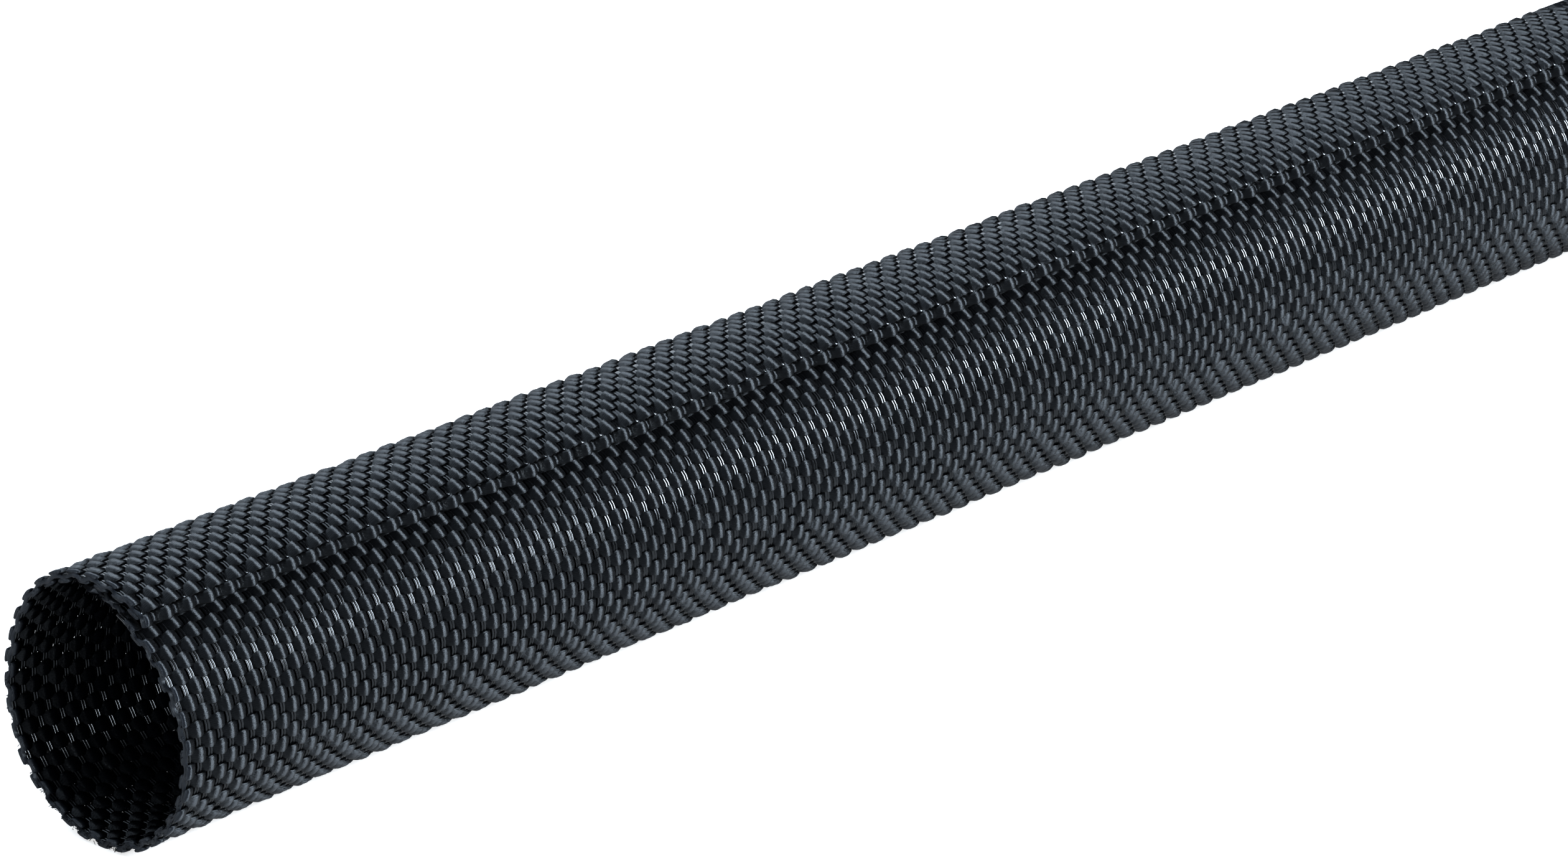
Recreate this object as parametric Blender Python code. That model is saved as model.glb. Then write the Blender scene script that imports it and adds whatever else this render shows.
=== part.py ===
# Woven cable sleeve: one length of self-closing fabric tube, cut from the roll.
# A band of woven fabric is curled up lengthwise until its two selvedges overlap on top.
# Metres. +X along the tube, +Z up, origin at the bottom centre of the tube.

import math

import bpy

# Driving sizes
LENGTH = 1.0                    # sold by the metre
BORE_RADIUS = 0.0088            # inner face of the layer that lies inside
FABRIC_THICKNESS = 0.0010       # over the highest yarns of both faces
LAYER_GAP = 0.0004              # between the two layers where they overlap
SEAM_ELEVATION = 63.0           # degrees above the front (-Y), where the outer selvedge lies
HIDDEN_EDGE_ELEVATION = 108.0   # degrees above the front, where the inner selvedge ends
RISE_START = 105.0              # degrees past the bottom, where the band starts to widen

# Fineness of the model
FACET_ANGLE = 13.5              # degrees, and one flat facet lies on the bottom
SELVEDGE_SEGMENTS = 6           # facets round each rounded edge of the band

BOTTOM_ELEVATION = -90.0
FULL_TURN = 360.0


def clear_scene():
    """Remove every object that the file opens with."""
    for item in list(bpy.data.objects):
        bpy.data.objects.remove(item, do_unlink=True)


def smooth_step(share):
    """Ease from 0 to 1 with level ends."""
    share = min(max(share, 0.0), 1.0)
    return share * share * (3.0 - 2.0 * share)


def middle_radius(wrap):
    """Radius of the fabric's middle at a wrap angle.

    The wrap angle is 0 at the bottom. It is positive along the front to the hidden edge,
    and negative along the back to the seam, where the band lies over its other edge.
    """
    inner_layer = BORE_RADIUS + FABRIC_THICKNESS / 2
    overlap_start = FULL_TURN - (HIDDEN_EDGE_ELEVATION - BOTTOM_ELEVATION)
    share = (-wrap - RISE_START) / (overlap_start - RISE_START)
    return inner_layer + (FABRIC_THICKNESS + LAYER_GAP) * smooth_step(share)


def wrap_angles():
    """Wrap angles from the seam, round the bottom, to the hidden edge."""
    seam = FULL_TURN - (SEAM_ELEVATION - BOTTOM_ELEVATION)
    hidden = HIDDEN_EDGE_ELEVATION - BOTTOM_ELEVATION
    half = FACET_ANGLE / 2
    back_count = round((seam - half) / FACET_ANGLE)
    front_count = round((hidden - half) / FACET_ANGLE)
    back = [-seam + (seam - half) * i / back_count for i in range(back_count + 1)]
    front = [half + (hidden - half) * i / front_count for i in range(front_count + 1)]
    return back + front


def section_point(wrap, radius):
    """Place in the cross-section, as (Y, Z) from the tube's axis."""
    elevation = math.radians(wrap + BOTTOM_ELEVATION)
    return (-radius * math.cos(elevation), radius * math.sin(elevation))


def rounded_edge(wrap, outward):
    """Half circle that closes the band at a selvedge, without its two end points.

    outward is +1 at the hidden edge and -1 at the seam. The points run from the face
    that the outline has just followed to the other one.
    """
    points = []
    middle_y, middle_z = section_point(wrap, middle_radius(wrap))
    elevation = math.radians(wrap + BOTTOM_ELEVATION)
    radial = (-math.cos(elevation), math.sin(elevation))
    along = (outward * math.sin(elevation), outward * math.cos(elevation))
    for i in range(1, SELVEDGE_SEGMENTS):
        turn = math.pi * i / SELVEDGE_SEGMENTS
        across = outward * math.cos(turn) * FABRIC_THICKNESS / 2
        past = math.sin(turn) * FABRIC_THICKNESS / 2
        points.append((middle_y + across * radial[0] + past * along[0],
                       middle_z + across * radial[1] + past * along[1]))
    return points


def band_outline():
    """Closed outline of the curled band, in (Y, Z) from the tube's axis."""
    wraps = wrap_angles()
    half = FABRIC_THICKNESS / 2
    outer_face = [section_point(w, middle_radius(w) + half) for w in wraps]
    inner_face = [section_point(w, middle_radius(w) - half) for w in reversed(wraps)]
    return (outer_face + rounded_edge(wraps[-1], 1.0)
            + inner_face + rounded_edge(wraps[0], -1.0))


def base_centred(outline):
    """Shift an outline so that it stands on Z = 0 and is centred on Y = 0."""
    ys = [y for y, z in outline]
    zs = [z for y, z in outline]
    centre = (min(ys) + max(ys)) / 2
    return [(y - centre, z - min(zs)) for y, z in outline]


def black_polyester():
    """Black PET yarn, satin rather than glossy as a whole."""
    material = bpy.data.materials.new("black polyester weave")
    material.use_nodes = True
    shader = material.node_tree.nodes["Principled BSDF"]
    shader.inputs["Base Color"].default_value = (0.022, 0.025, 0.030, 1.0)
    shader.inputs["Roughness"].default_value = 0.5
    shader.inputs["Metallic"].default_value = 0.0
    return material


def woven_sleeve(collection):
    """The curled band, as a flat outline drawn out to the full length."""
    outline = base_centred(band_outline())
    curve = bpy.data.curves.new("woven_sleeve", "CURVE")
    curve.dimensions = "2D"
    curve.fill_mode = "BOTH"
    curve.extrude = LENGTH / 2
    spline = curve.splines.new("POLY")
    spline.points.add(len(outline) - 1)
    for point, (y, z) in zip(spline.points, outline):
        point.co = (y, z, 0.0, 1.0)
    spline.use_cyclic_u = True
    curve.materials.append(black_polyester())
    sleeve = bpy.data.objects.new("woven_sleeve", curve)
    # The outline's own axes become world Y and Z, and its extrusion runs along X.
    sleeve.rotation_euler = (math.pi / 2, 0.0, math.pi / 2)
    collection.objects.link(sleeve)
    return sleeve


def main():
    clear_scene()
    collection = bpy.data.collections.new("woven cable sleeve")
    bpy.context.scene.collection.children.link(collection)
    woven_sleeve(collection)


main()
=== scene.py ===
# Woven cable sleeve: the looks of one length of self-closing woven tube.
# Lengthwise multifilament warps cross paired round monofilaments that run round the tube.
# Both ends are woven yarn by yarn. The long middle is a relief of the same weave.
# Metres. +X along the tube away from the open end in the photograph, +Z up, -Y the front.

import math

import bpy
import numpy as np
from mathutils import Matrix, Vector


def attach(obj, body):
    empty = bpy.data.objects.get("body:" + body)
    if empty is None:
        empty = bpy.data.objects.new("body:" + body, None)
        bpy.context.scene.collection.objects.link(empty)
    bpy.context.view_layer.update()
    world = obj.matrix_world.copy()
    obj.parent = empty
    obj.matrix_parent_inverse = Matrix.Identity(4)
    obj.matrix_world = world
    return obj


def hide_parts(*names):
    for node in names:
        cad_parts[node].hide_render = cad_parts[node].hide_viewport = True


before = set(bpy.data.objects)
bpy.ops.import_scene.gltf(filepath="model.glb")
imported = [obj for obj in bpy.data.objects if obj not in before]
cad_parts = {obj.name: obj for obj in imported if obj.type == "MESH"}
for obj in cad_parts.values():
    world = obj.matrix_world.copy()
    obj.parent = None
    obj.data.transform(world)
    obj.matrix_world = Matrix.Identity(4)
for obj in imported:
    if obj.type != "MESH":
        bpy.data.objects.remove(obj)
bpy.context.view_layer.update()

NODE = "woven_sleeve"
UV_NAME = "yarn"
MM = 1000.0

# The band's route in the cross-section, as in the part's source
BORE_RADIUS = 0.0088
FABRIC_THICKNESS = 0.0010
LAYER_GAP = 0.0004
SEAM_ELEVATION = 58.7         # of the woven selvedge, which hangs over the solid's end
HIDDEN_EDGE_ELEVATION = 108.0
RISE_START = 105.0
AXIS_HEIGHT = 0.009732
LENGTH = 1.0
ROUTE_POINTS = 6001

# The weave
HOOP_PITCH = 0.00101          # from one pair of monofilaments to the next, along the tube
WARP_PITCH = 0.000953         # from one warp to the next, round the tube
WARP_LIFT = 0.00027           # how far a warp's middle swings either side of the weft
WARP_HALF_WIDTH = 0.00052
WARP_SPREAD = 0.00011         # what it gains in half-width where it floats
WARP_HALF_THICKNESS = 0.00016
FLOAT_FLATNESS = 0.3          # how much a warp's wave is flattened on its crowns
FILAMENT_RADIUS = 0.000118
PAIR_OFFSET = 0.000125        # of each filament from the middle of its pair
FILAMENT_CRIMP = 0.000055
CUT_MARGIN = 0.00034          # from the cut edge to the first pair

# The two selvedge yarns, which are rounder than the others
SELVEDGE_WARP_HALF_WIDTH = 0.00048
SELVEDGE_HALF_THICKNESS = 0.00020
SELVEDGE_LIFT = 0.00026
SELVEDGE_POINTEDNESS = 0.2    # of its arches
SELVEDGE_DIP = 1.7            # depth of its dips, as a share of its lift
SELVEDGE_SWELL = 0.10         # share of its width that comes and goes with the arches

# The seam
SELVEDGE_DROOP = 0.00065      # how far the outer selvedge leans in on the layer below
DROOP_WIDTH = 0.0011
PAIR_TURN = 0.00118           # from the selvedge to where the pairs turn back
PAIR_TAIL = 0.0006            # by which they run on past the last warp
OVERLAP_RECESS = 2.2          # hoops by which the inner selvedge falls short of the cut
RECESS_MARGIN = 0.3           # hoops that a pair may lie outside that slanting edge

# Slow waves of the hoops along the tube: height, hoops to the radian, phase
HOOP_SWAYS = ((0.00012, 5.3, 0.8), (0.00016, 17.0, 0.0))
# Waves that lean them: height, waves round the band, hoops to the radian, phase
HOOP_LEANS = ((0.00010, 1, 41.0, 0.0), (0.00005, 3, 13.0, 1.0))
# What the first hoops lean besides, as the mouth isn't cut quite square
MOUTH_LEAN = 0.00010
MOUTH_LEAN_HOOPS = 5.0
MOUTH_LEAN_PHASE = 0.6
# Waves of a warp across the band: height, hoops to the radian, phase from warp to warp
WARP_WANDERS = ((0.00004, 7.0, 2.4), (0.00003, 2.9, 1.7))

# Spread of the random differences between floats, as shares, but for the last in metres
LIFT_STRAY = 0.13
WIDTH_STRAY = 0.15
RELIEF_STRAY = 0.06
SIDE_STRAY = 0.000016

# Warps at a cut end, with lengths in hoops
WARP_OVERHANG = 0.32          # past the last pair
OVERHANG_STRAY = 0.06
END_RING_GAP = 0.2            # least gap from the last ring to the one before
END_TAPER = 0.92
END_STUB = 0.00004            # least metres from the last ring to the one before
UNCUT_RUN = 10.0              # millimetres that a warp without a cut end counts from

# The lumpy lip along a heat-cut edge
LIP_STEP = 0.25               # warps from one station to the next
LIP_END_MARGIN = 0.0001
LIP_HALF_WIDTH = 0.00014
LIP_HALF_THICKNESS = 0.00019
LIP_WAVE = 0.00013            # rise and fall from warp to warp
LIP_LUMP = 0.00003
LIP_SWELL = 0.28
LIP_WANDER = 0.00007
LIP_RUN = 0.002               # keeps its whole run within the pale cut end
LUMP_WEIGHTS = (0.25, 0.5, 0.25)
WANDER_WEIGHTS = (0.2, 0.2, 0.2, 0.2, 0.2)

# Loose fibres at a heat-cut edge
FRAY_MARGINS = (0.001, 0.010)  # bare stretches at the seam and at the hidden selvedge
FRAY_REACH = (0.00008, 0.00028)
FRAY_RADIUS = (0.000020, 0.000045)
FRAY_LEAN = 0.6
FRAY_CURL = 0.5
FRAY_SIDE_CURL = 0.3
FRAY_LIFT = 0.00015
FRAY_STATIONS = 5

# The relief of the middle stretch
PLAIN_STEP = 3                # warps from column to column where no crowns are drawn
SEAM_TURN = 0.00035           # from the selvedge yarn's middle to the turn of the edge
SEAM_EDGE_FLOAT = 0.00010     # how far the edge stands out where its yarn floats
SEAM_EDGE_DIVE = 0.00016      # and where it dives
SEAM_DROP = 0.75              # height left at the turn
INNER_FACE = 0.8              # depth of the inner face, as a share of the crowns' height
HIDDEN_TURN = 0.0001
SEAM_COLUMNS = (-0.45, -0.7, -0.45)  # texture coordinates round the seam's edge

# How far yarn geometry runs in from the two ends
FINE_REACH = 0.044
YARN_REACH = 0.176
FAR_YARN_REACH = 0.020

# Warps that the camera sees, and those under the overlap, counted from the two selvedges
SEAM_SIDE_WARPS = 11
HIDDEN_WARPS = 8
FRONT_WARPS = 23

# Cross-sections. Those of a yarn are (across, up), widest at +-1.
EIGHTHS = np.arange(8) * math.pi / 4
FINE_YARN = (np.array([1.0, 0.90, 0.42, -0.42, -0.90, -1.0, -0.6, 0.6]),
             np.array([-0.2, 0.66, 1.0, 1.0, 0.66, -0.2, -1.0, -1.0]))
COARSE_YARN = (np.array([1.0, 0.66, -0.66, -1.0, -0.66, 0.66]),
               np.array([0.0, 1.0, 1.0, 0.0, -1.0, -1.0]))
ROUND_YARN = (np.cos(EIGHTHS), np.sin(EIGHTHS))
# Those of a filament are angles from its outward side.
WHOLE_FILAMENT = 2 * math.pi * np.arange(6) / 6
OUTWARD_HALF = np.radians([-90.0, 0.0, 90.0])
THIN_FIBRE = 2 * math.pi * np.arange(3) / 3

# Small steps that find directions on the band
SIDE_PROBE = 1e-5
LIFT_PROBE = 1e-4
ROUNDING = 1e-6

random = np.random.default_rng(63)


def build_route():
    """Arc length against place and outward normal, from the seam to the hidden edge."""
    seam = 360.0 - (SEAM_ELEVATION + 90.0)
    hidden = HIDDEN_EDGE_ELEVATION + 90.0
    wraps = np.linspace(-seam, hidden, ROUTE_POINTS)
    overlap_start = 360.0 - hidden
    share = np.clip((-wraps - RISE_START) / (overlap_start - RISE_START), 0.0, 1.0)
    radius = BORE_RADIUS + FABRIC_THICKNESS / 2
    radius = radius + (FABRIC_THICKNESS + LAYER_GAP) * share * share * (3.0 - 2.0 * share)
    from_seam = np.radians(wraps + seam) * radius
    radius = radius - SELVEDGE_DROOP * np.clip(1.0 - from_seam / DROOP_WIDTH, 0.0, 1.0) ** 2
    elevation = np.radians(wraps - 90.0)
    y = -radius * np.cos(elevation)
    z = AXIS_HEIGHT + radius * np.sin(elevation)
    steps = np.hypot(np.diff(y), np.diff(z))
    reach = np.concatenate([[0.0], np.cumsum(steps)])
    dy = np.gradient(y, reach)
    dz = np.gradient(z, reach)
    length = np.hypot(dy, dz)
    # The outward normal is the direction of travel turned by a quarter.
    return reach, y, z, -dz / length, dy / length


ROUTE_S, ROUTE_Y, ROUTE_Z, ROUTE_NY, ROUTE_NZ = build_route()
BAND_WIDTH = ROUTE_S[-1]
WARP_COUNT = int(round((BAND_WIDTH - 4 * SELVEDGE_WARP_HALF_WIDTH) / WARP_PITCH)) + 2
SHOWN_WARPS = WARP_COUNT - HIDDEN_WARPS
INNER_PITCH = (BAND_WIDTH - 4 * SELVEDGE_WARP_HALF_WIDTH) / (WARP_COUNT - 2)
WARP_S = np.concatenate([
    [SELVEDGE_WARP_HALF_WIDTH],
    2 * SELVEDGE_WARP_HALF_WIDTH + (np.arange(WARP_COUNT - 2) + 0.5) * INNER_PITCH,
    [BAND_WIDTH - SELVEDGE_WARP_HALF_WIDTH],
])
HOOP_COUNT = int((LENGTH - 2 * CUT_MARGIN) / HOOP_PITCH) + 1
FIRST_X = -LENGTH / 2 + (LENGTH - (HOOP_COUNT - 1) * HOOP_PITCH) / 2

# A row for each hoop, and spare ones. The last two of side_noise vary the cut ends.
lift_noise = random.normal(0.0, 1.0, (HOOP_COUNT + 4, WARP_COUNT))
side_noise = random.normal(0.0, 1.0, (HOOP_COUNT + 4, WARP_COUNT))


def on_band(x, s, lift):
    """Points at x along the tube, s across the band and lift above its middle."""
    inside = np.clip(s, 0.0, BAND_WIDTH)
    past = s - inside
    y = np.interp(inside, ROUTE_S, ROUTE_Y)
    z = np.interp(inside, ROUTE_S, ROUTE_Z)
    ny = np.interp(inside, ROUTE_S, ROUTE_NY)
    nz = np.interp(inside, ROUTE_S, ROUTE_NZ)
    x, y, z, lift, past, ny, nz = np.broadcast_arrays(x, y, z, lift, past, ny, nz)
    return np.stack([x, y + lift * ny + past * nz, z + lift * nz - past * ny], axis=-1)


def hoop_x(t, s):
    """Place along the tube of hoop number t, which may lie between two hoops."""
    turn = 2 * math.pi * s / BAND_WIDTH
    sway = sum(height * np.sin(t / slowness + phase)
               for height, slowness, phase in HOOP_SWAYS)
    lean = sum(height * np.sin(waves * turn + t / slowness + phase)
               for height, waves, slowness, phase in HOOP_LEANS)
    near_mouth = np.exp(-np.maximum(t, 0.0) / MOUTH_LEAN_HOOPS)
    mouth_lean = near_mouth * MOUTH_LEAN * np.sin(2 * turn + MOUTH_LEAN_PHASE)
    return FIRST_X + t * HOOP_PITCH + sway + lean + mouth_lean


def warp_s(t, index):
    """Place across the band of one warp, which wanders a little on its way."""
    return WARP_S[index] + sum(height * np.sin(t / slowness + index * phase)
                               for height, slowness, phase in WARP_WANDERS)


def float_wave(t, index, selvedge):
    """+1 where the warp floats over a hoop and -1 or lower where it dives under one."""
    c = np.cos(math.pi * (np.clip(t, 0.0, HOOP_COUNT - 1.0) + index))
    if selvedge:
        arch = c * (1.0 - SELVEDGE_POINTEDNESS + SELVEDGE_POINTEDNESS * c * c)
        return np.where(c > 0.0, arch, SELVEDGE_DIP * c)
    return c * (1.0 + FLOAT_FLATNESS - FLOAT_FLATNESS * c * c)


def overlap_recess(index):
    """How many hoops short of the cut the overlapped layer ends, at one warp."""
    return OVERLAP_RECESS * np.clip((index - SHOWN_WARPS) / HIDDEN_WARPS, 0.0, 1.0)


def unit(vectors):
    """The same directions, each of length 1."""
    return vectors / np.linalg.norm(vectors, axis=1, keepdims=True)


def run_along(centre):
    """Length of a path so far at each of its points, in millimetres."""
    steps = np.linalg.norm(np.diff(centre, axis=0), axis=1)
    return np.concatenate([[0.0], np.cumsum(steps)]) * MM


class Batch:
    """Quads of many swept yarns, gathered into one mesh."""

    def __init__(self):
        self.points = []
        self.faces = []
        self.uvs = []
        self.caps = []
        self.count = 0

    def sweep(self, rings, run, closed=True, capped=(True, True), across=None):
        """Join rings of points, shaped (stations, sides, 3).

        run is the first texture coordinate of each ring. across is the second one, of each
        column and of the one after the last.
        """
        stations, sides = rings.shape[:2]
        first = self.count + np.arange(stations - 1)[:, None] * sides
        columns = np.arange(sides if closed else sides - 1)[None, :]
        following = (columns + 1) % sides
        quads = np.stack([first + columns, first + following,
                          first + sides + following, first + sides + columns], axis=-1)
        self.points.append(rings.reshape(-1, 3))
        self.faces.append(quads.reshape(-1, 4))
        if across is None:
            across = np.arange(sides + 1) / sides
        low = np.broadcast_to(across[columns], quads.shape[:2])
        high = np.broadcast_to(across[columns + 1], quads.shape[:2])
        start = np.broadcast_to(run[:-1, None], quads.shape[:2])
        end = np.broadcast_to(run[1:, None], quads.shape[:2])
        uv = np.stack([np.stack([start, low], -1), np.stack([start, high], -1),
                       np.stack([end, high], -1), np.stack([end, low], -1)], axis=2)
        self.uvs.append(uv.reshape(-1, 2))
        if closed and capped[0]:
            self.caps.append((self.count + np.arange(sides)[::-1], run[0]))
        if closed and capped[1]:
            last = self.count + (stations - 1) * sides
            self.caps.append((last + np.arange(sides), run[-1]))
        self.count += stations * sides

    def finish(self, name, material):
        """Turn what was gathered into one object."""
        points = np.concatenate(self.points)
        quads = np.concatenate(self.faces)
        loops = quads.reshape(-1)
        starts = np.arange(len(quads)) * 4
        uvs = np.concatenate(self.uvs)
        for ring, run in self.caps:
            starts = np.append(starts, len(loops))
            loops = np.append(loops, ring)
            around = np.arange(len(ring)) / len(ring)
            uvs = np.vstack([uvs, np.stack([np.full(len(ring), run), around], -1)])
        mesh = bpy.data.meshes.new(name)
        mesh.vertices.add(len(points))
        mesh.vertices.foreach_set("co", points.astype(np.float32).ravel())
        mesh.loops.add(len(loops))
        mesh.loops.foreach_set("vertex_index", loops.astype(np.int32))
        mesh.polygons.add(len(starts))
        mesh.polygons.foreach_set("loop_start", starts.astype(np.int32))
        layer = mesh.uv_layers.new(name=UV_NAME)
        layer.data.foreach_set("uv", uvs.astype(np.float32).ravel())
        mesh.polygons.foreach_set("use_smooth", np.ones(len(starts), bool))
        mesh.update(calc_edges=True)
        mesh.materials.append(material)
        piece = bpy.data.objects.new(name, mesh)
        bpy.context.scene.collection.objects.link(piece)
        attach(piece, "root")
        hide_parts(NODE)


def warp_rings(index, t, section, ends):
    """Rings of one warp at the places t, counted in hoops, and the run along it.

    ends says which of its two ends are cut ends. Those taper a little.
    """
    near = np.clip(np.rint(t).astype(int), 0, HOOP_COUNT - 1)
    lift_stray = 1.0 + LIFT_STRAY * lift_noise[near, index]
    selvedge = index in (0, WARP_COUNT - 1)
    wave = float_wave(t, index, selvedge)
    if selvedge:
        lift = SELVEDGE_LIFT * wave * lift_stray
        half_width = SELVEDGE_WARP_HALF_WIDTH * (1.0 - SELVEDGE_SWELL + SELVEDGE_SWELL * wave)
        half_thickness = SELVEDGE_HALF_THICKNESS
        section = ROUND_YARN
    else:
        lift = WARP_LIFT * wave * lift_stray
        width_stray = 1.0 + WIDTH_STRAY * side_noise[near, index]
        half_width = WARP_HALF_WIDTH + WARP_SPREAD * wave * wave * width_stray
        half_thickness = WARP_HALF_THICKNESS
    s = warp_s(t, index) + SIDE_STRAY * side_noise[near, index]
    x = hoop_x(t, s)
    taper = np.ones_like(t)
    if ends[0]:
        taper[0] = END_TAPER
        x[0] = min(x[0], x[1] - END_STUB)
    if ends[1]:
        taper[-1] = END_TAPER
        x[-1] = max(x[-1], x[-2] + END_STUB)
    centre = on_band(x, s, lift)
    along = unit(np.gradient(centre, axis=0))
    side = unit(on_band(x, s + SIDE_PROBE, lift) - on_band(x, s - SIDE_PROBE, lift))
    up = unit(np.cross(side, along))
    outward = on_band(x, s, lift + LIFT_PROBE) - centre
    up *= np.sign(np.sum(up * outward, axis=1, keepdims=True))
    across = section[0][None, :] * (half_width * taper)[:, None]
    rise = section[1][None, :] * (half_thickness * taper)[:, None]
    rings = (centre[:, None, :] + side[:, None, :] * across[..., None]
             + up[:, None, :] * rise[..., None])
    run = run_along(centre)
    # The run counts from a cut end where there is one, and from far off where there is none.
    if ends[1]:
        run = run - run[-1]
    elif not ends[0]:
        run = run + UNCUT_RUN
    return rings, run


def add_warps(batch, first, last, indices, steps, section, ends=(False, False)):
    """Warps from hoop first to hoop last, with steps rings to a hoop.

    Each one is cut where it dives under a hoop, unless ends says that it has a real end there.
    """
    for index in indices:
        start, stop = float(first), float(last)
        if ends[0]:
            start = OVERHANG_STRAY * side_noise[-1, index] - WARP_OVERHANG + overlap_recess(index)
        elif (first + index) % 2 == 0:
            start += 1.0
        if ends[1]:
            stop = (HOOP_COUNT - 1.0 + WARP_OVERHANG
                    + OVERHANG_STRAY * side_noise[-2, index] - overlap_recess(index))
        elif (last + index) % 2 == 0:
            stop += 1.0
        first_ring = math.ceil(start * steps + ROUNDING)
        last_ring = math.floor(stop * steps - ROUNDING)
        inner = np.arange(first_ring, last_ring + 1) / steps
        if ends[0]:
            inner = inner[inner > start + END_RING_GAP]
        if ends[1]:
            inner = inner[inner < stop - END_RING_GAP]
        t = np.concatenate([[start], inner, [stop]])
        rings, run = warp_rings(index, t, section, ends)
        batch.sweep(rings, run, capped=ends)


def smooth_noise(count, weights):
    """Random values, count of them, each blended with its neighbours."""
    return np.convolve(random.normal(0.0, 1.0, count + len(weights) - 1), weights, "valid")


def add_lip(batch, cut, inwards):
    """The yarn ends along a heat-cut edge, fused into a thin lumpy lip.

    cut is its place in hoops, and inwards the sign of the way into the tube.
    """
    index = np.arange(0.0, WARP_COUNT - 1 + ROUNDING, LIP_STEP)
    s = np.interp(index, np.arange(WARP_COUNT), WARP_S)
    s[0], s[-1] = LIP_END_MARGIN, BAND_WIDTH - LIP_END_MARGIN
    lumps = smooth_noise(len(index), LUMP_WEIGHTS)
    wander = smooth_noise(len(index), WANDER_WEIGHTS)
    x = hoop_x(cut + inwards * overlap_recess(index), s) + LIP_WANDER * wander
    lift = LIP_WAVE * np.cos(math.pi * index) + LIP_LUMP * lumps
    thick = LIP_HALF_THICKNESS * (1.0 + LIP_SWELL * lumps)
    rings = on_band(x[:, None] + LIP_HALF_WIDTH * np.cos(EIGHTHS)[None, :], s[:, None],
                    lift[:, None] + thick[:, None] * np.sin(EIGHTHS)[None, :])
    batch.sweep(rings, s * LIP_RUN * MM)


def filament_rings(x, s, lift, radius, angles):
    """Rings of a round filament along a path on the band, and the run along it."""
    centre = on_band(x, s, lift)
    along = unit(np.gradient(centre, axis=0))
    outward = on_band(x, s, lift + LIFT_PROBE) - centre
    outward -= along * np.sum(outward * along, axis=1, keepdims=True)
    outward = unit(outward)
    side = np.cross(along, outward)
    rings = centre[:, None, :] + radius * (
        np.cos(angles)[None, :, None] * outward[:, None, :]
        + np.sin(angles)[None, :, None] * side[:, None, :])
    return rings, run_along(centre)


def add_fray(batch, cut, inwards, count, middle, spread):
    """Loose fibres that stand out of a cut edge, most of them near one place round it."""
    share = np.linspace(0.0, 1.0, FRAY_STATIONS)
    for _ in range(count):
        s = random.normal(middle, spread)
        s = np.clip(s, FRAY_MARGINS[0], BAND_WIDTH - FRAY_MARGINS[1])
        reach = random.uniform(*FRAY_REACH)
        lean = random.normal(0.0, FRAY_LEAN)
        curl = random.normal(0.0, FRAY_CURL)
        bow = reach * curl * share * share
        x = hoop_x(cut, s) - inwards * reach * share * math.cos(lean)
        path_s = s + reach * share * math.sin(lean) + FRAY_SIDE_CURL * bow
        lift = random.normal(0.0, FRAY_LIFT) + bow
        radius = random.uniform(*FRAY_RADIUS)
        batch.sweep(*filament_rings(x, path_s, lift, radius, THIN_FIBRE))


def pair_lift(hoop, indices):
    """Crimp of a pair, which runs under the warps that float and over those that dive."""
    return np.where((hoop + indices) % 2 == 0, -FILAMENT_CRIMP, FILAMENT_CRIMP)


def add_pairs(batch, first, last, whole):
    """Pairs of monofilament from hoop first up to hoop last, joined by a bend at the seam.

    Those that aren't whole have only their outward half.
    """
    turn = np.radians([-90.0, -45.0, 0.0, 45.0, 90.0])
    bend_s = PAIR_TURN - PAIR_OFFSET * np.cos(turn)
    for hoop in range(first, last):
        reach = min(hoop, HOOP_COUNT - 1 - hoop) + RECESS_MARGIN
        indices = np.arange(1, WARP_COUNT)
        indices = indices[overlap_recess(indices) < reach]
        warps = WARP_S[indices]
        crimp = pair_lift(hoop, indices)
        x = np.concatenate([hoop_x(hoop, warps[::-1]) - PAIR_OFFSET,
                            hoop_x(hoop, 0.0) + PAIR_OFFSET * np.sin(turn),
                            hoop_x(hoop, warps) + PAIR_OFFSET])
        s = np.concatenate([warps[::-1], bend_s, warps])
        lift = np.concatenate([crimp[::-1], np.full(len(turn), pair_lift(hoop, 0)), crimp])
        s[0] += PAIR_TAIL
        s[-1] += PAIR_TAIL
        angles = WHOLE_FILAMENT if whole else OUTWARD_HALF
        rings, run = filament_rings(x, s, lift, FILAMENT_RADIUS, angles)
        batch.sweep(rings, run, closed=whole)


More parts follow.
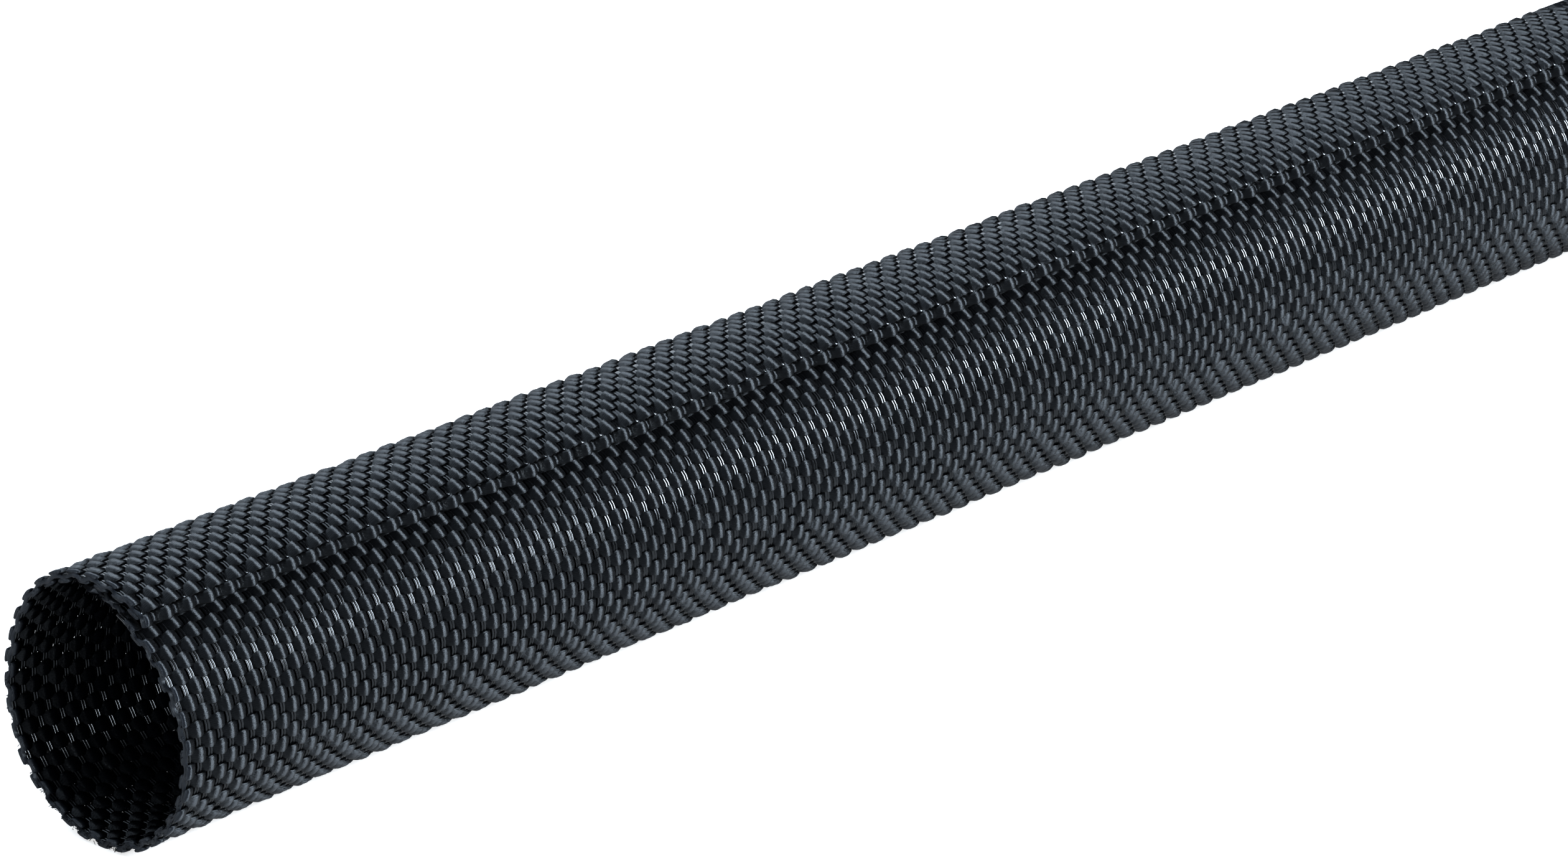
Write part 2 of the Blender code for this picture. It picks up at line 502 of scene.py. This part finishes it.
def relief_rings(first, last):
    """Rings of the middle stretch, one at each hoop, with the crowns of the weave on them.

    Each ring runs over the outer face to the seam and back on the inner face. The hoops and
    the warps that the columns stand for come with them, as texture coordinates.
    """
    hoops = np.arange(first, last + 1)
    outer = np.concatenate([np.arange(WARP_COUNT - 1, SHOWN_WARPS, -PLAIN_STEP),
                            np.arange(SHOWN_WARPS, -1, -1)])
    inner = np.append(np.arange(0, WARP_COUNT, PLAIN_STEP)[:-1], WARP_COUNT - 1)
    top = WARP_LIFT + WARP_HALF_THICKNESS
    pair_top = FILAMENT_CRIMP + FILAMENT_RADIUS
    seam_turn = WARP_S[0] - SEAM_TURN
    hidden_turn = BAND_WIDTH - HIDDEN_TURN
    rings = []
    for hoop in hoops:
        floats = (hoop + outer) % 2 == 0
        stray = 1.0 + RELIEF_STRAY * lift_noise[hoop, outer]
        outer_lift = np.where(floats, top * stray, pair_top)
        outer_lift[outer > SHOWN_WARPS] = pair_top
        edge = SEAM_EDGE_FLOAT if floats[-1] else SEAM_EDGE_DIVE
        s = np.concatenate([warp_s(hoop, outer), [seam_turn, -edge, seam_turn],
                            WARP_S[inner], [hidden_turn, BAND_WIDTH, hidden_turn]])
        lift = np.concatenate([outer_lift, [outer_lift[-1] * SEAM_DROP, 0.0, -pair_top],
                               np.full(len(inner), -INNER_FACE * top),
                               [-pair_top, 0.0, pair_top]])
        rings.append(on_band(hoop_x(hoop, s), s, lift))
    across = np.concatenate([outer, SEAM_COLUMNS, inner, np.full(3, WARP_COUNT - 0.5),
                             [WARP_COUNT - 1.0]])
    return np.stack(rings), hoops.astype(float), across


def new_material(name):
    """A material, its tree of nodes and the shader of its surface."""
    material = bpy.data.materials.new(name)
    material.use_nodes = True
    tree = material.node_tree
    return material, tree, tree.nodes["Principled BSDF"]


def plug(tree, value, socket):
    """Link a node's output to an input, or give the input a plain value."""
    if isinstance(value, bpy.types.NodeSocket):
        tree.links.new(value, socket)
    else:
        socket.default_value = value


def set_inputs(tree, node, values):
    """Give a node's inputs their values or links, by name."""
    for name, value in values.items():
        plug(tree, value, node.inputs[name])


def add_node(tree, kind, values, **settings):
    """A node with its settings and inputs, giving its first output."""
    node = tree.nodes.new(kind)
    for name, setting in settings.items():
        setattr(node, name, setting)
    set_inputs(tree, node, values)
    return node.outputs[0]


def math_node(tree, operation, *values):
    """A sum on outputs or numbers, giving its output."""
    node = tree.nodes.new("ShaderNodeMath")
    node.operation = operation
    for socket, value in zip(node.inputs, values):
        plug(tree, value, socket)
    return node.outputs[0]


def fibrous_material(name, specular_level):
    """A material whose highlights spread across its fibres, with its two coordinates."""
    material, tree, shader = new_material(name)
    split = tree.nodes.new("ShaderNodeSeparateXYZ")
    tree.links.new(add_node(tree, "ShaderNodeUVMap", {}, uv_map=UV_NAME), split.inputs[0])
    set_inputs(tree, shader, {
        "Roughness": 0.50,
        "Specular IOR Level": specular_level,
        "Specular Tint": (0.84, 0.92, 1.0, 1.0),
        "Anisotropic": 1.0,
        "Anisotropic Rotation": 0.25,
        "Tangent": add_node(tree, "ShaderNodeTangent", {},
                            direction_type="UV_MAP", uv_map=UV_NAME),
    })
    return material, tree, shader, split.outputs[0], split.outputs[1]


def warp_yarn():
    """Black multifilament: fine filaments along the yarn, slightly twisted."""
    filaments = 26.0
    twist = 2.2               # radians to the millimetre
    blotches = (4.5, 17.0)    # of noise, to the millimetre and round the yarn
    blotch_height = 6.0       # against that of the filaments
    material, tree, shader, along, around = fibrous_material("black multifilament", 0.5)
    phase = math_node(tree, "MULTIPLY_ADD", around, 2 * math.pi * filaments,
                      math_node(tree, "MULTIPLY", along, twist))
    stretched = add_node(tree, "ShaderNodeCombineXYZ", {
        "X": math_node(tree, "MULTIPLY", along, blotches[0]),
        "Y": math_node(tree, "MULTIPLY", around, blotches[1]),
    })
    noise = add_node(tree, "ShaderNodeTexNoise",
                     {"Vector": stretched, "Scale": 1.0, "Detail": 3.0})
    height = math_node(tree, "MULTIPLY_ADD", noise, blotch_height,
                       math_node(tree, "SINE", phase))
    bump = add_node(tree, "ShaderNodeBump",
                    {"Height": height, "Strength": 0.8, "Distance": 0.000006})
    tint = add_node(tree, "ShaderNodeMixRGB", {
        "Fac": noise,
        "Color1": (0.0005, 0.0006, 0.0009, 1.0),
        "Color2": (0.0014, 0.0018, 0.0026, 1.0),
    })
    # The heat-cut ends are paler over the last half millimetre.
    from_cut = math_node(tree, "MULTIPLY_ADD", noise, 0.5, math_node(tree, "ABSOLUTE", along))
    at_cut = add_node(tree, "ShaderNodeMapRange",
                      {"Value": from_cut, "From Min": 0.75, "From Max": 0.15},
                      interpolation_type="SMOOTHSTEP")
    colour = add_node(tree, "ShaderNodeMixRGB",
                      {"Fac": at_cut, "Color1": tint, "Color2": (0.009, 0.011, 0.015, 1.0)})
    set_inputs(tree, shader, {"Base Color": colour, "Normal": bump})
    return material


def monofilament():
    """Black round monofilament, smooth and glossy."""
    material, tree, shader = new_material("black monofilament")
    noise = add_node(tree, "ShaderNodeTexNoise", {
        "Vector": add_node(tree, "ShaderNodeUVMap", {}, uv_map=UV_NAME),
        "Scale": 1.7,
        "Detail": 2.0,
    })
    set_inputs(tree, shader, {
        "Base Color": (0.0010, 0.0013, 0.0019, 1.0),
        "Roughness": math_node(tree, "MULTIPLY_ADD", noise, 0.14, 0.20),
        "Specular IOR Level": 0.5,
        "Specular Tint": (0.88, 0.94, 1.0, 1.0),
    })
    return material


def woven_relief():
    """The same weave as a relief. The texture coordinates count hoops and warps. Its colour is
    painted light: paler floats as painted highlight, darker windows as painted shade.
    """
    fibres_to_warp = 12.0
    material, tree, shader, hoops, warps = fibrous_material("black weave relief with painted light", 0.36)
    # +1 in the middle of a float and -1 in the middle of a window
    along = math_node(tree, "COSINE", math_node(tree, "MULTIPLY", hoops, math.pi))
    around = math_node(tree, "COSINE", math_node(tree, "MULTIPLY", warps, math.pi))
    floats = add_node(tree, "ShaderNodeMapRange", {
        "Value": math_node(tree, "MULTIPLY", along, around),
        "From Min": -0.15,
        "From Max": 0.35,
    }, interpolation_type="SMOOTHSTEP")
    # The two filaments of a pair, seen in the windows
    pair_wave = math_node(tree, "SINE", math_node(tree, "MULTIPLY", hoops, 2 * math.pi))
    window = math_node(tree, "MULTIPLY", math_node(tree, "ABSOLUTE", pair_wave), 0.5)
    fibre_phase = math_node(tree, "MULTIPLY", warps, 2 * math.pi * fibres_to_warp)
    float_height = math_node(tree, "MULTIPLY_ADD",
                             math_node(tree, "SINE", fibre_phase), 0.06, 1.0)
    height = math_node(tree, "MULTIPLY_ADD", floats,
                       math_node(tree, "SUBTRACT", float_height, window), window)
    bump = add_node(tree, "ShaderNodeBump",
                    {"Height": height, "Strength": 0.7, "Distance": 0.00012})
    # Painted light: both colours are paler than the yarns' own black, the floats paler still as
    # painted highlight and the windows darker as painted shade
    colour = add_node(tree, "ShaderNodeMixRGB", {
        "Fac": floats,
        "Color1": (0.0016, 0.0020, 0.0029, 1.0),
        "Color2": (0.0054, 0.0068, 0.0095, 1.0),
    })
    set_inputs(tree, shader, {"Base Color": colour, "Normal": bump})
    return material


WARP = warp_yarn()
WEFT = monofilament()
fine_hoops = int(FINE_REACH / HOOP_PITCH)
yarn_hoops = int(YARN_REACH / HOOP_PITCH)
far_hoops = HOOP_COUNT - int(FAR_YARN_REACH / HOOP_PITCH)
every_warp = np.arange(WARP_COUNT)
front_start = SHOWN_WARPS - FRONT_WARPS


def make_warps(name, *stretch, ends=(False, False)):
    """One piece of warps."""
    batch = Batch()
    add_warps(batch, *stretch, ends=ends)
    batch.finish(name, WARP)


def make_lip(name, cut, fray_cut, inwards, frays):
    """One piece of lip and loose fibres. frays gives count, middle and spread of each group."""
    batch = Batch()
    add_lip(batch, cut, inwards)
    for count, middle, spread in frays:
        add_fray(batch, fray_cut, inwards, count, middle * BAND_WIDTH, spread)
    batch.finish(name, WARP)


def make_hoops(name, first, last, whole):
    """One piece of pairs."""
    batch = Batch()
    add_pairs(batch, first, last, whole)
    batch.finish(name, WEFT)


make_warps("mouth_warps", 0, fine_hoops, every_warp, 3, FINE_YARN, ends=(True, False))
make_lip("mouth_lip", -0.24, -0.30, 1.0, [(160, 0.54, 0.006), (70, 0.50, 0.016)])
make_hoops("mouth_hoops", 0, fine_hoops, True)

make_warps("seam_warps", fine_hoops, yarn_hoops, every_warp[:SEAM_SIDE_WARPS], 3, FINE_YARN)
make_warps("front_warps", fine_hoops, yarn_hoops, every_warp[front_start:SHOWN_WARPS], 3,
           FINE_YARN)
make_warps("back_warps", fine_hoops, yarn_hoops, every_warp[SEAM_SIDE_WARPS:front_start], 3,
           COARSE_YARN)
make_warps("overlapped_warps", fine_hoops, yarn_hoops, every_warp[SHOWN_WARPS:], 2,
           COARSE_YARN)
make_hoops("near_hoops", fine_hoops, yarn_hoops, False)

middle = Batch()
relief, relief_hoops, relief_warps = relief_rings(yarn_hoops, far_hoops)
middle.sweep(relief, relief_hoops, across=relief_warps)
middle.finish("middle_weave", woven_relief())

make_warps("far_end_warps", far_hoops, HOOP_COUNT - 1, every_warp, 3, COARSE_YARN,
           ends=(False, True))
make_lip("far_end_lip", HOOP_COUNT - 0.76, HOOP_COUNT - 0.70, -1.0, [(80, 0.5, 0.014)])
make_hoops("far_end_hoops", far_hoops, HOOP_COUNT, True)

FLOOR_HALF_SIZE = 12.0
WORLD_STRENGTH = 0.015
LIGHT_TARGET = (-0.42, 0.0, 0.01)
# Name, direction it comes from, distance, width, height, watts and colour of each light
LIGHTS = (
    ("key", (0.42, -0.76, 0.51), 2.1, 0.88, 0.79, 150.0, (0.90, 0.95, 1.0)),
    ("back", (0.40, 0.78, 0.45), 2.6, 1.4, 0.6, 15.0, (0.90, 0.95, 1.0)),
    ("overhead", (0.0, 0.52, 0.85), 4.0, 5.8, 4.2, 370.0, (0.84, 0.92, 1.0)),
    ("mouth", (-0.85, -0.46, 0.26), 2.0, 0.33, 0.5, 47.0, (0.95, 0.98, 1.0)),
)
CAMERA_PLACE = (-0.79597, -0.33638, 0.20556)
CAMERA_TILT = 68.71
CAMERA_HEADING = -47.61
CAMERA_LENS = 157.83
DISPLAY_GAMMA = 0.75          # brings out the deep blacks


def add_floor():
    """A wide pale floor, which gives off a little light of its own."""
    mesh = bpy.data.meshes.new("floor")
    size = FLOOR_HALF_SIZE
    corners = [(-size, -size, 0.0), (size, -size, 0.0), (size, size, 0.0), (-size, size, 0.0)]
    mesh.from_pydata(corners, [], [(0, 1, 2, 3)])
    floor = bpy.data.objects.new("floor", mesh)
    bpy.context.scene.collection.objects.link(floor)
    material, tree, shader = new_material("pale floor")
    set_inputs(tree, shader, {
        "Base Color": (0.42, 0.42, 0.42, 1.0),
        "Emission Color": (1.0, 1.0, 1.0, 1.0),
        "Emission Strength": 0.62,
        "Roughness": 0.85,
        "Specular IOR Level": 0.2,
    })
    mesh.materials.append(material)


def add_softbox(name, direction, distance, width, height, power, colour):
    """An area light that shines on the open end from a direction, unseen by the camera."""
    light = bpy.data.lights.new(name, "AREA")
    light.shape = "RECTANGLE"
    light.size = width
    light.size_y = height
    light.energy = power
    light.color = colour
    lamp = bpy.data.objects.new(name, light)
    bpy.context.scene.collection.objects.link(lamp)
    towards = Vector(direction).normalized()
    lamp.location = Vector(LIGHT_TARGET) + towards * distance
    lamp.rotation_euler = towards.to_track_quat("Z", "Y").to_euler()
    lamp.visible_camera = False


def add_camera():
    """The photograph's camera: a long lens, looking down on the open end."""
    data = bpy.data.cameras.new("camera")
    data.sensor_width = 36.0
    data.lens = CAMERA_LENS
    data.clip_start = 0.01
    camera = bpy.data.objects.new("camera", data)
    camera.location = CAMERA_PLACE
    camera.rotation_euler = (math.radians(CAMERA_TILT), 0.0, math.radians(CAMERA_HEADING))
    bpy.context.scene.collection.objects.link(camera)
    bpy.context.scene.camera = camera


def add_world():
    """Faint, even, slightly blue surroundings."""
    world = bpy.data.worlds.new("studio")
    world.use_nodes = True
    background = world.node_tree.nodes["Background"]
    background.inputs["Color"].default_value = (0.92, 0.96, 1.0, 1.0)
    background.inputs["Strength"].default_value = WORLD_STRENGTH
    bpy.context.scene.world = world


add_floor()
add_world()
for light in LIGHTS:
    add_softbox(*light)
add_camera()
bpy.context.scene.view_settings.view_transform = "Standard"
bpy.context.scene.view_settings.gamma = DISPLAY_GAMMA
